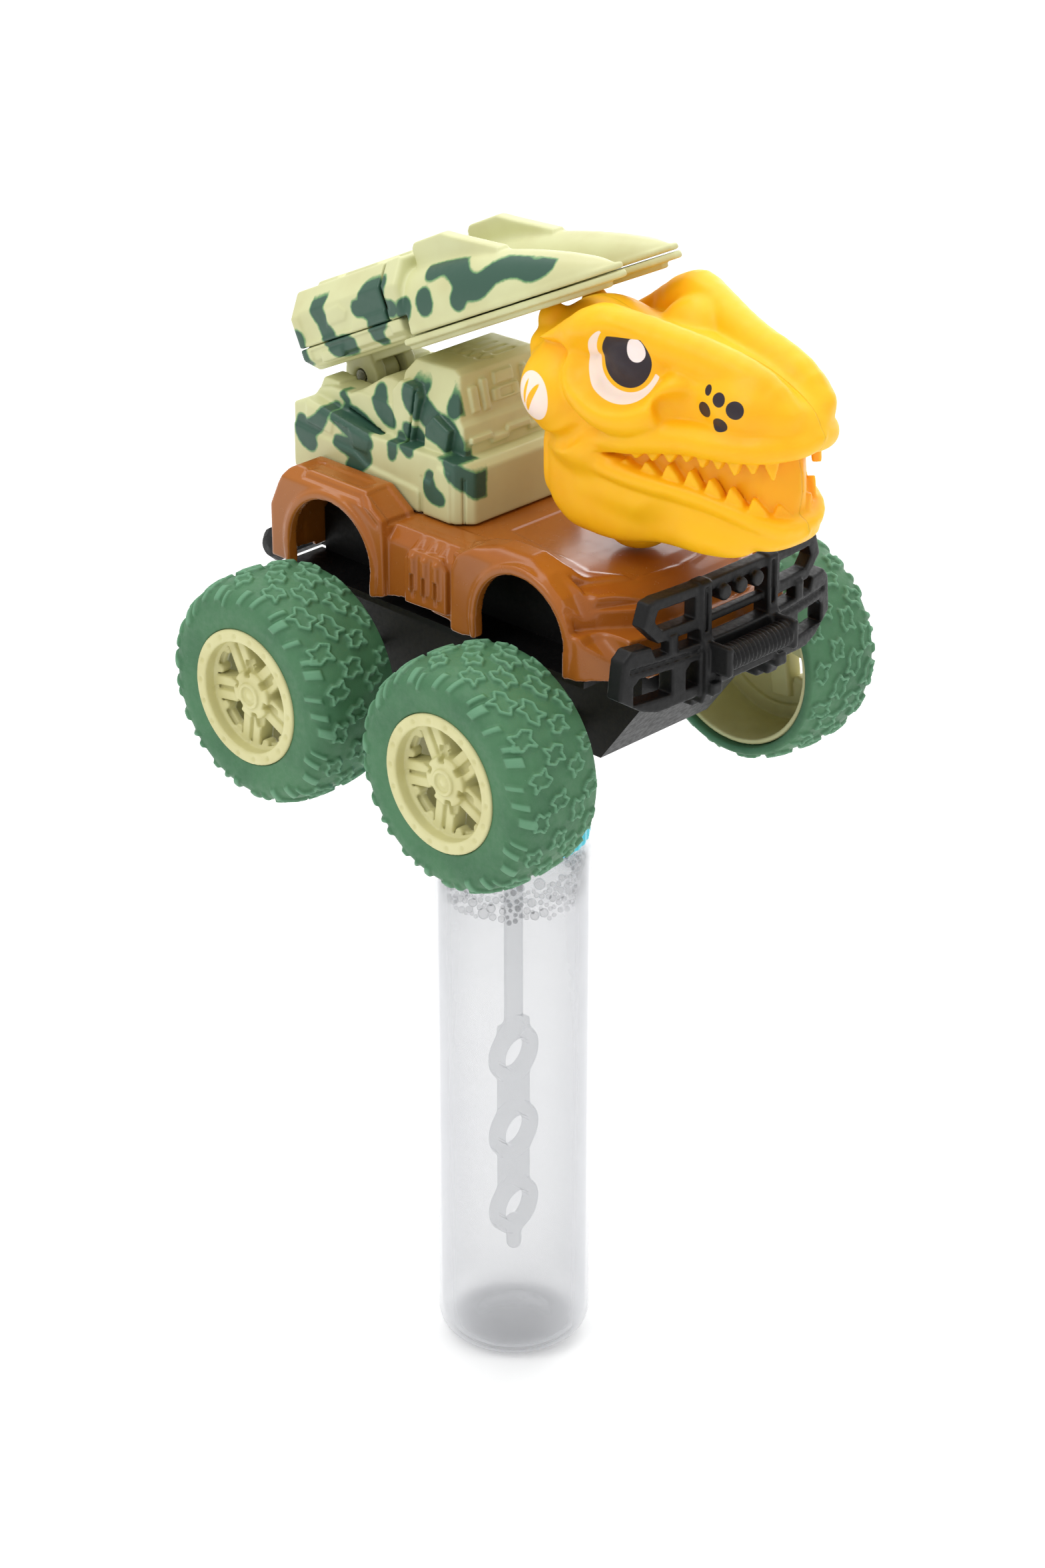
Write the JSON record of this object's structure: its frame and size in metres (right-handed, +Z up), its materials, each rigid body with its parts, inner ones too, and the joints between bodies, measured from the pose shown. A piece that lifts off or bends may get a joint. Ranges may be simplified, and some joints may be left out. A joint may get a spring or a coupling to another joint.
{
  "type": "bubble machine",
  "caption": "Toy bubble bottle with a screw cap and wand, topped by a dinosaur-headed monster truck with free-rolling wheels and a tilting rocket launcher.",
  "frame": {"origin": "under the middle of the object's box, at the height where the bottle stands; the bottle's axis is 17.9 mm behind it", "axes": "+X towards the truck's nose, +Y to the truck's left, +Z up along the bottle"},
  "size_m": [0.1494, 0.1178, 0.2889],
  "materials": {
    "clear_bottle": "clear blow-moulded plastic",
    "cyan_cap": "satin moulded plastic",
    "seal_foam": "white foam disc",
    "wand_plastic": "pale translucent plastic",
    "steel": "bright drawn steel",
    "rim_plastic": "pale beige moulded plastic",
    "tyre_rubber": "matte green rubber",
    "white_nylon": "white nylon",
    "grey_plastic": "dark grey plastic",
    "black_plastic": "black moulded plastic",
    "brown_plastic": "glossy brown plastic",
    "camouflage_plastic": "pale green plastic with dark green printed patches",
    "yellow_plastic": "soft yellow plastic"
  },
  "bodies": {
    "bottle": {"bottle": "clear_bottle"},
    "truck": {"bottle_cap": "cyan_cap", "cap_seal": "seal_foam", "wand": "wand_plastic", "chassis_tub": "black_plastic", "rear_bumper": "black_plastic", "front_bumper": "black_plastic", "body_shell": "brown_plastic", "body_screw_1": "steel", "body_screw_2": "steel", "body_screw_3": "steel", "body_screw_4": "steel", "front_axle_bush_left": "white_nylon", "front_axle_bush_right": "white_nylon", "motor_case_left": "grey_plastic", "motor_case_right": "grey_plastic", "launcher_base": "camouflage_plastic", "launcher_hinge_pin": "steel", "head_left": "yellow_plastic", "head_right": "yellow_plastic"},
    "front_axle_set": {"front_axle": "steel", "rim_front_left": "rim_plastic", "rim_front_right": "rim_plastic", "tyre_front_left": "tyre_rubber", "tyre_front_right": "tyre_rubber"},
    "rear_axle_set": {"rear_axle": "steel", "axle_gear": "white_nylon", "rim_rear_left": "rim_plastic", "rim_rear_right": "rim_plastic", "tyre_rear_left": "tyre_rubber", "tyre_rear_right": "tyre_rubber"},
    "idler": {"idler_gear": "white_nylon", "idler_shaft": "steel"},
    "flywheel_set": {"flywheel": "steel", "flywheel_pinion": "white_nylon", "flywheel_shaft": "steel"},
    "launcher": {"launcher_upper": "camouflage_plastic", "launcher_lower": "camouflage_plastic"}
  },
  "joints": [
    {"name": "bottle_unscrew_lift", "type": "slide", "parent": "bottle", "child": "truck", "axis": [0, 0, 1], "range_m": [0, 0.15]},
    {"name": "front_axle_spin", "type": "hinge", "parent": "truck", "child": "front_axle_set", "pos_m": [0.0173, 0, 0.1835], "axis": [0, 1, 0], "continuous": true},
    {"name": "rear_axle_spin", "type": "hinge", "parent": "truck", "child": "rear_axle_set", "pos_m": [-0.0447, 0, 0.1835], "axis": [0, 1, 0], "continuous": true},
    {"name": "idler_spin", "type": "hinge", "parent": "truck", "child": "idler", "pos_m": [-0.0447, 0, 0.1915], "axis": [0, 1, 0], "continuous": true},
    {"name": "flywheel_spin", "type": "hinge", "parent": "truck", "child": "flywheel_set", "pos_m": [-0.0367, 0, 0.1915], "axis": [0, 1, 0], "continuous": true},
    {"name": "launcher_tilt", "type": "hinge", "parent": "truck", "child": "launcher", "pos_m": [-0.0602, 0, 0.242], "axis": [0, -1, 0], "range_deg": [0, 35]}
  ],
  "couplings": [
    {"joint": "idler_spin", "follows": "rear_axle_spin", "ratio": -3},
    {"joint": "flywheel_spin", "follows": "rear_axle_spin", "ratio": 9}
  ]
}
